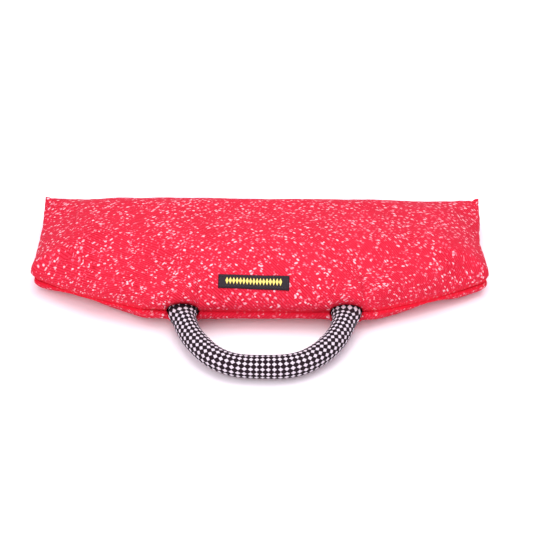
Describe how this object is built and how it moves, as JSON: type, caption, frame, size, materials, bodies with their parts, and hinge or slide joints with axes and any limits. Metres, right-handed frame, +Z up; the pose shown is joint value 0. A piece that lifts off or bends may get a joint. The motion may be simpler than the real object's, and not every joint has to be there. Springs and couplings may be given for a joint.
{
  "type": "training bumper",
  "caption": "Stuffed bite pad in red woven fabric with a checked, padded handle loop sewn into its front seam.",
  "frame": {"origin": "middle of the whole footprint, pad and handle together, on the table", "axes": "+X across the pad, along the front seam; -Y from the pad towards the handle; +Z up"},
  "size_m": [0.41, 0.2508, 0.0557],
  "materials": {
    "cover_fabric": "matt twill with pale flecks",
    "bag_canvas": "plain canvas",
    "filling_wool": "loose fibre",
    "seam_tape": "woven tape",
    "red_thread": "twisted thread",
    "black_thread": "twisted thread",
    "label_black": "fine satin weave",
    "label_yellow": "fine satin weave",
    "check_webbing": "small black and white check weave",
    "load_strap": "ribbed webbing",
    "core_foam": "soft closed foam"
  },
  "bodies": {
    "pad": {"top_panel": "cover_fabric", "bottom_panel": "cover_fabric", "top_lining": "bag_canvas", "bottom_lining": "bag_canvas", "filling": "filling_wool", "seam_tape": "seam_tape", "seam_stitch": "red_thread", "closing_stitch": "red_thread", "label_base": "label_black", "label_motif": "label_yellow", "label_stitch": "black_thread", "left_sleeve_end": "check_webbing", "right_sleeve_end": "check_webbing", "left_strap_tail": "load_strap", "right_strap_tail": "load_strap", "left_patch": "bag_canvas", "right_patch": "bag_canvas", "left_bartack": "black_thread", "right_bartack": "black_thread"},
    "handle": {"handle_sleeve": "check_webbing", "handle_core": "core_foam", "handle_strap": "load_strap", "sleeve_seam": "black_thread"}
  },
  "joints": [
    {"name": "handle_swing", "type": "hinge", "parent": "pad", "child": "handle", "pos_m": [0.004, -0.05887, 0.0195], "axis": [-1, 0, 0], "range_deg": [-60, 85]}
  ]
}
